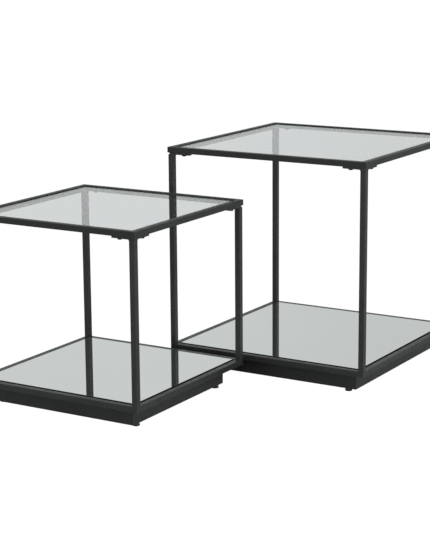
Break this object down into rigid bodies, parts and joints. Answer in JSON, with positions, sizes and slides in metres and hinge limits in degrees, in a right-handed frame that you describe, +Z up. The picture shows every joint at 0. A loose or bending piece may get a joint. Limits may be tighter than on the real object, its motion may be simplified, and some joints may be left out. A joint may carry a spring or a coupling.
{
  "type": "nesting tables",
  "caption": "Square black-framed side tables with clear glass tops and mirror shelves on set-back plinths; the smaller table slides and stows in the open bay of the larger.",
  "frame": {"origin": "on the floor, under the middle of the box round both tables", "axes": "+Z up, -Y the front, towards the small table; +X to the right seen from the front. The small table stands in front and to the left of the large one."},
  "size_m": [0.713, 0.96, 0.52],
  "materials": {
    "black_powder_coat": "satin black powder coat with a fine even texture",
    "clear_glass": "clear float glass with polished, slightly green edges",
    "mirror": "silvered float glass, very slightly green",
    "shelf_board": "black faced board",
    "black_screw": "black oxide",
    "zinc_steel": "zinc plated",
    "glide_plastic": "moulded black nylon",
    "clear_bumper": "clear soft plastic"
  },
  "bodies": {
    "large_table": {"large_top_front": "black_powder_coat", "large_top_right": "black_powder_coat", "large_top_back": "black_powder_coat", "large_top_left": "black_powder_coat", "large_glass_ledges": "black_powder_coat", "large_glass_top": "clear_glass", "large_glass_bumpers": "clear_bumper", "large_brackets": "black_powder_coat", "large_bracket_screws": "black_screw", "large_leg_front_left": "black_powder_coat", "large_leg_front_right": "black_powder_coat", "large_leg_back_right": "black_powder_coat", "large_leg_back_left": "black_powder_coat", "large_ring_front": "black_powder_coat", "large_ring_right": "black_powder_coat", "large_ring_back": "black_powder_coat", "large_ring_left": "black_powder_coat", "large_shelf_straps": "black_powder_coat", "large_shelf_board": "shelf_board", "large_board_screws": "zinc_steel", "large_shelf_mirror": "mirror", "large_plinth_front": "black_powder_coat", "large_plinth_right": "black_powder_coat", "large_plinth_back": "black_powder_coat", "large_plinth_left": "black_powder_coat", "large_glide_inserts": "zinc_steel"},
    "small_table": {"small_top_front": "black_powder_coat", "small_top_right": "black_powder_coat", "small_top_back": "black_powder_coat", "small_top_left": "black_powder_coat", "small_glass_ledges": "black_powder_coat", "small_glass_top": "clear_glass", "small_glass_bumpers": "clear_bumper", "small_brackets": "black_powder_coat", "small_bracket_screws": "black_screw", "small_leg_front_left": "black_powder_coat", "small_leg_front_right": "black_powder_coat", "small_leg_back_right": "black_powder_coat", "small_leg_back_left": "black_powder_coat", "small_ring_front": "black_powder_coat", "small_ring_right": "black_powder_coat", "small_ring_back": "black_powder_coat", "small_ring_left": "black_powder_coat", "small_shelf_straps": "black_powder_coat", "small_shelf_board": "shelf_board", "small_board_screws": "zinc_steel", "small_shelf_mirror": "mirror", "small_plinth_front": "black_powder_coat", "small_plinth_right": "black_powder_coat", "small_plinth_back": "black_powder_coat", "small_plinth_left": "black_powder_coat", "small_glide_inserts": "zinc_steel"},
    "large_glide_front_left": {"large_glide_front_left": "glide_plastic"},
    "large_glide_front_right": {"large_glide_front_right": "glide_plastic"},
    "large_glide_back_right": {"large_glide_back_right": "glide_plastic"},
    "large_glide_back_left": {"large_glide_back_left": "glide_plastic"},
    "small_glide_front_left": {"small_glide_front_left": "glide_plastic"},
    "small_glide_front_right": {"small_glide_front_right": "glide_plastic"},
    "small_glide_back_right": {"small_glide_back_right": "glide_plastic"},
    "small_glide_back_left": {"small_glide_back_left": "glide_plastic"}
  },
  "joints": [
    {"name": "small_table_slide", "type": "slide", "parent": "large_table", "child": "small_table", "axis": [0, 1, 0], "range_m": [-0.35, 0.028]},
    {"name": "large_glide_front_left_thread", "type": "slide", "parent": "large_table", "child": "large_glide_front_left", "axis": [0, 0, -1], "range_m": [0, 0.008]},
    {"name": "large_glide_front_right_thread", "type": "slide", "parent": "large_table", "child": "large_glide_front_right", "axis": [0, 0, -1], "range_m": [0, 0.008]},
    {"name": "large_glide_back_right_thread", "type": "slide", "parent": "large_table", "child": "large_glide_back_right", "axis": [0, 0, -1], "range_m": [0, 0.008]},
    {"name": "large_glide_back_left_thread", "type": "slide", "parent": "large_table", "child": "large_glide_back_left", "axis": [0, 0, -1], "range_m": [0, 0.008]},
    {"name": "small_glide_front_left_thread", "type": "slide", "parent": "small_table", "child": "small_glide_front_left", "axis": [0, 0, -1], "range_m": [0, 0.008]},
    {"name": "small_glide_front_right_thread", "type": "slide", "parent": "small_table", "child": "small_glide_front_right", "axis": [0, 0, -1], "range_m": [0, 0.008]},
    {"name": "small_glide_back_right_thread", "type": "slide", "parent": "small_table", "child": "small_glide_back_right", "axis": [0, 0, -1], "range_m": [0, 0.008]},
    {"name": "small_glide_back_left_thread", "type": "slide", "parent": "small_table", "child": "small_glide_back_left", "axis": [0, 0, -1], "range_m": [0, 0.008]}
  ]
}
